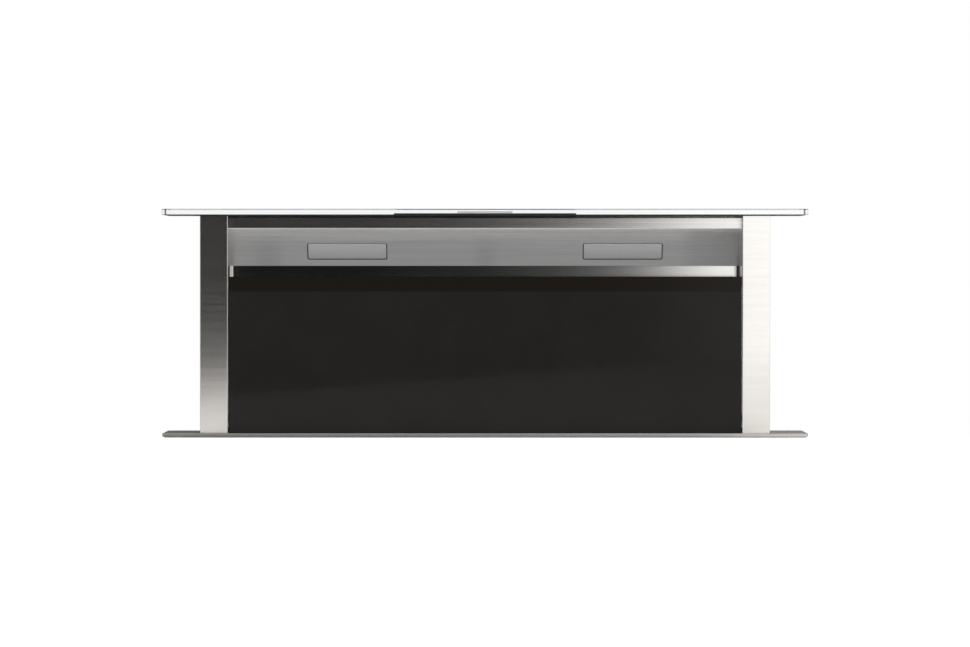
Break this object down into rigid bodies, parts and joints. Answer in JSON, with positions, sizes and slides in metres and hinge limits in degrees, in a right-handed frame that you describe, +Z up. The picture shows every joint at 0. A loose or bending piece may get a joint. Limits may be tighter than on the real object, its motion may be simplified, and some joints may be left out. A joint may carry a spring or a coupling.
{
  "type": "downdraft vent",
  "caption": "Rising worktop downdraft extractor: glass-capped steel tower with lamp bar and black glass front on a slim under-worktop housing with lift drive and fan.",
  "frame": {"origin": "middle of the worktop cut-out at the worktop's surface, under the trim's seal", "axes": "+X to the right seen from the front, the front faces -Y, +Z up, the way the tower rises"},
  "size_m": [0.8812, 0.292, 1.0466],
  "materials": {
    "brushed_steel": "fine horizontal grain",
    "cap_glass": "polished, black print beneath",
    "black_glass": "polished",
    "black_metal": "satin powder coat",
    "seal_rubber": "matt",
    "black_plastic": "matt",
    "touch_grey": "gloss",
    "circuit_board": "matt",
    "frosted_lens": "frosted",
    "galvanised": "galvanised",
    "machined_steel": "machined",
    "nylon": "matt",
    "aluminium": "satin",
    "motor_black": "satin",
    "grey_plastic": "matt"
  },
  "bodies": {
    "housing": {"cable_gland": "black_plastic", "chassis_bottom": "galvanised", "chassis_front": "galvanised", "chassis_rear": "galvanised", "chassis_screws": "machined_steel", "chassis_side_left": "galvanised", "chassis_side_right": "galvanised", "control_case": "galvanised", "control_case_lid": "galvanised", "fan_motor": "motor_black", "flap_pins": "machined_steel", "floor_feet": "galvanised", "guide_rail_left": "galvanised", "guide_rail_right": "galvanised", "lift_gearbox": "aluminium", "lift_motor": "motor_black", "outlet_spigot": "grey_plastic", "scroll_cover": "galvanised", "scroll_inlet_plate": "galvanised", "scroll_shell": "galvanised", "shaft_bearings": "nylon", "trim_gasket": "seal_rubber", "worktop_clamps": "galvanised", "worktop_trim": "brushed_steel"},
    "tower": {"cap_glass": "cap_glass", "cap_seal": "seal_rubber", "cap_carrier": "black_metal", "control_housing": "black_plastic", "control_board": "circuit_board", "touch_insert": "touch_grey", "column_left": "brushed_steel", "column_right": "brushed_steel", "fascia_lamp_bar": "brushed_steel", "lamp_lens_left": "frosted_lens", "lamp_lens_right": "frosted_lens", "lamp_holder_left": "black_plastic", "lamp_holder_right": "black_plastic", "led_board_left": "circuit_board", "led_board_right": "circuit_board", "rear_panel": "brushed_steel", "filter_ledge": "galvanised", "grease_filter_left": "aluminium", "grease_filter_right": "aluminium", "hook_strip_left": "galvanised", "hook_strip_right": "galvanised", "tower_base": "galvanised", "leg_left": "galvanised", "leg_right": "galvanised", "rack_left": "machined_steel", "rack_right": "machined_steel", "guide_shoes": "nylon", "tower_screws": "machined_steel"},
    "front_panel": {"glass_panel": "black_glass", "panel_carrier": "galvanised"},
    "cross_shaft": {"drive_shaft": "machined_steel", "pinion_left": "machined_steel", "pinion_right": "machined_steel"},
    "fan_wheel": {"impeller": "galvanised"},
    "flap_back_body": {"flap_back": "grey_plastic"},
    "flap_front_body": {"flap_front": "grey_plastic"}
  },
  "joints": [
    {"name": "lift", "type": "slide", "parent": "housing", "child": "tower", "axis": [0, 0, 1], "range_m": [-0.2972, 0]},
    {"name": "cross_shaft_turn", "type": "hinge", "parent": "housing", "child": "cross_shaft", "pos_m": [0, -0.016, -0.3732], "axis": [1, 0, 0], "range_deg": [-855, 0]},
    {"name": "panel_unhook", "type": "slide", "parent": "tower", "child": "front_panel", "axis": [0, 0, 1], "range_m": [0, 0.01]},
    {"name": "fan_spin", "type": "hinge", "parent": "housing", "child": "fan_wheel", "pos_m": [0.01, 0.1, -0.515], "axis": [0, 1, 0], "continuous": true},
    {"name": "flap_back_swing", "type": "hinge", "parent": "housing", "child": "flap_back_body", "pos_m": [-0.189, 0.1342, -0.615], "axis": [0, 0, 1], "range_deg": [0, 75], "stiffness_Nm_per_rad": 0.004},
    {"name": "flap_front_swing", "type": "hinge", "parent": "housing", "child": "flap_front_body", "pos_m": [-0.189, 0.1278, -0.615], "axis": [0, 0, -1], "range_deg": [0, 75], "stiffness_Nm_per_rad": 0.004}
  ],
  "couplings": [
    {"joint": "cross_shaft_turn", "follows": "lift", "rad_per_m": 50}
  ]
}
